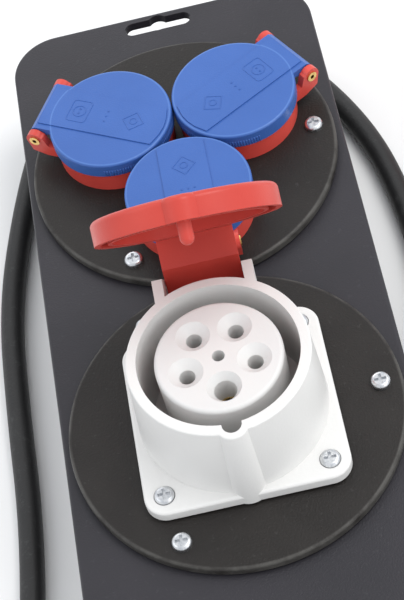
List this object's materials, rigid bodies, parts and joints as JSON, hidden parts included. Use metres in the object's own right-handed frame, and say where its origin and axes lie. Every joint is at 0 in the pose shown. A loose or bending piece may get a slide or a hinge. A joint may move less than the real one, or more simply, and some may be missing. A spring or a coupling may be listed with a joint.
{
  "type": "portable power distribution box",
  "caption": "Flat portable power distribution box with hinged-cover mains sockets, an industrial five-pole socket with a flap lid, a hang slot and a supply cable.",
  "frame": {"origin": "on the floor under the middle of the face plate, box lying on its four feet", "axes": "+Z out of the face plate, +Y along the plate to the hang slot, +X to the right seen from the foot end"},
  "size_m": [0.3078, 0.4337, 0.1611],
  "materials": {
    "plate_plastic": "fine-grained dark polypropylene, worn satin",
    "disc_plastic": "near-black, matt",
    "socket_red": "moulded, semi-gloss",
    "lid_blue": "moulded, semi-gloss, fine texture",
    "collar_grey": "light grey, satin",
    "contact_grey": "light grey, satin",
    "lid_red": "moulded, semi-gloss, slightly translucent look",
    "carrier_black": "heat-proof moulding",
    "cable_rubber": "matt rubber sheath",
    "soft_rubber": "seal rubber",
    "zinc_steel": "zinc-plated",
    "spring_steel": "bright wire",
    "contact_brass": "bright",
    "gland_plastic": "black nylon",
    "plug_red": "moulded, semi-gloss",
    "plug_grey": "light grey grip",
    "block_white": "natural nylon",
    "lead_sheath": "grey sheath"
  },
  "bodies": {
    "enclosure": {"bend_guard": "cable_rubber", "cable_clamp": "gland_plastic", "clamp_screws": "zinc_steel", "coil_tie": "soft_rubber", "disc_screws": "zinc_steel", "disc_seals": "soft_rubber", "face_plate": "plate_plastic", "five_pole_core": "contact_grey", "five_pole_hinge_pin": "zinc_steel", "five_pole_housing": "collar_grey", "five_pole_leads": "lead_sheath", "five_pole_sleeves": "contact_brass", "flange_screws": "zinc_steel", "flange_seal": "soft_rubber", "gland_body": "gland_plastic", "gland_locknut": "gland_plastic", "gland_nut": "gland_plastic", "gland_seal": "soft_rubber", "inner_cable": "cable_rubber", "left_contact_carrier": "carrier_black", "left_earth_clips": "contact_brass", "left_hinge_pin": "contact_brass", "left_lid_spring": "spring_steel", "left_pin_sleeves": "contact_brass", "left_socket_body": "socket_red", "lower_contact_carrier": "carrier_black", "lower_disc": "disc_plastic", "lower_earth_clips": "contact_brass", "lower_hinge_pin": "contact_brass", "lower_lid_spring": "spring_steel", "lower_pin_sleeves": "contact_brass", "lower_socket_body": "socket_red", "plug_grip": "plug_grey", "plug_head": "plug_red", "plug_nut": "plug_grey", "plug_pins": "contact_brass", "rear_tray": "plate_plastic", "right_contact_carrier": "carrier_black", "right_earth_clips": "contact_brass", "right_hinge_pin": "contact_brass", "right_lid_spring": "spring_steel", "right_pin_sleeves": "contact_brass", "right_socket_body": "socket_red", "socket_leads": "lead_sheath", "supply_cable": "cable_rubber", "supply_cable_coil": "cable_rubber", "terminal_block": "block_white", "terminal_screws": "zinc_steel", "tray_feet": "soft_rubber", "tray_screws": "zinc_steel", "tray_seal": "soft_rubber", "upper_disc": "disc_plastic"},
    "left_cover": {"left_lid": "lid_blue", "left_lid_seal": "soft_rubber"},
    "right_cover": {"right_lid": "lid_blue", "right_lid_seal": "soft_rubber"},
    "lower_cover": {"lower_lid": "lid_blue", "lower_lid_seal": "soft_rubber"},
    "five_pole_cover": {"five_pole_lid": "lid_red", "five_pole_lid_seal": "soft_rubber"}
  },
  "joints": [
    {"name": "left_cover_hinge", "type": "hinge", "parent": "enclosure", "child": "left_cover", "pos_m": [-0.05006, 0.0916, 0.0692], "axis": [-0.5, -0.866, 0], "range_deg": [0, 100], "stiffness_Nm_per_rad": 0.01, "springref_deg": -28.65},
    {"name": "right_cover_hinge", "type": "hinge", "parent": "enclosure", "child": "right_cover", "pos_m": [0.05006, 0.0916, 0.0692], "axis": [-0.5, 0.866, 0], "range_deg": [0, 100], "stiffness_Nm_per_rad": 0.01, "springref_deg": -28.65},
    {"name": "lower_cover_hinge", "type": "hinge", "parent": "enclosure", "child": "lower_cover", "pos_m": [0, 0.0049, 0.0692], "axis": [1, 0, 0], "range_deg": [0, 75], "stiffness_Nm_per_rad": 0.01, "springref_deg": -28.65},
    {"name": "five_pole_cover_hinge", "type": "hinge", "parent": "enclosure", "child": "five_pole_cover", "pos_m": [0, -0.0198, 0.081], "axis": [-1, 0, 0], "range_deg": [-56, 24]}
  ]
}
